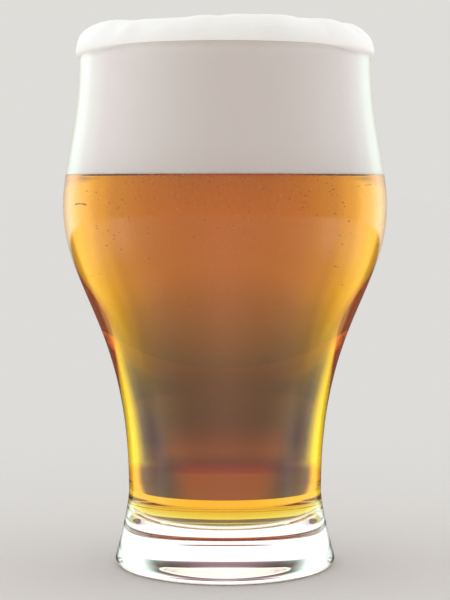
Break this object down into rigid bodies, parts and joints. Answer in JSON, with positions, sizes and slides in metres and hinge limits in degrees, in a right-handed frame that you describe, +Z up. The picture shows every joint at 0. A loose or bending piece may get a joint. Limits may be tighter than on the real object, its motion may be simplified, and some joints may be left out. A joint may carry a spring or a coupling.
{
  "type": "pint of beer",
  "caption": "Pint of amber beer in a tulip glass with a heavy base and a narrow waist, a deep head of white foam domed over the rim.",
  "frame": {"origin": "middle of the glass's resting face, on its axis", "axes": "+Z up along the axis of the glass; the glass is turned, so +X and +Y are any two directions across it"},
  "size_m": [0.094, 0.094, 0.1567],
  "materials": {
    "glass": "clear, polished",
    "beer": "clear amber liquid",
    "foam": "fine white foam"
  },
  "bodies": {
    "root": {"glass": "glass", "beer": "beer", "foam": "foam"}
  },
  "joints": []
}
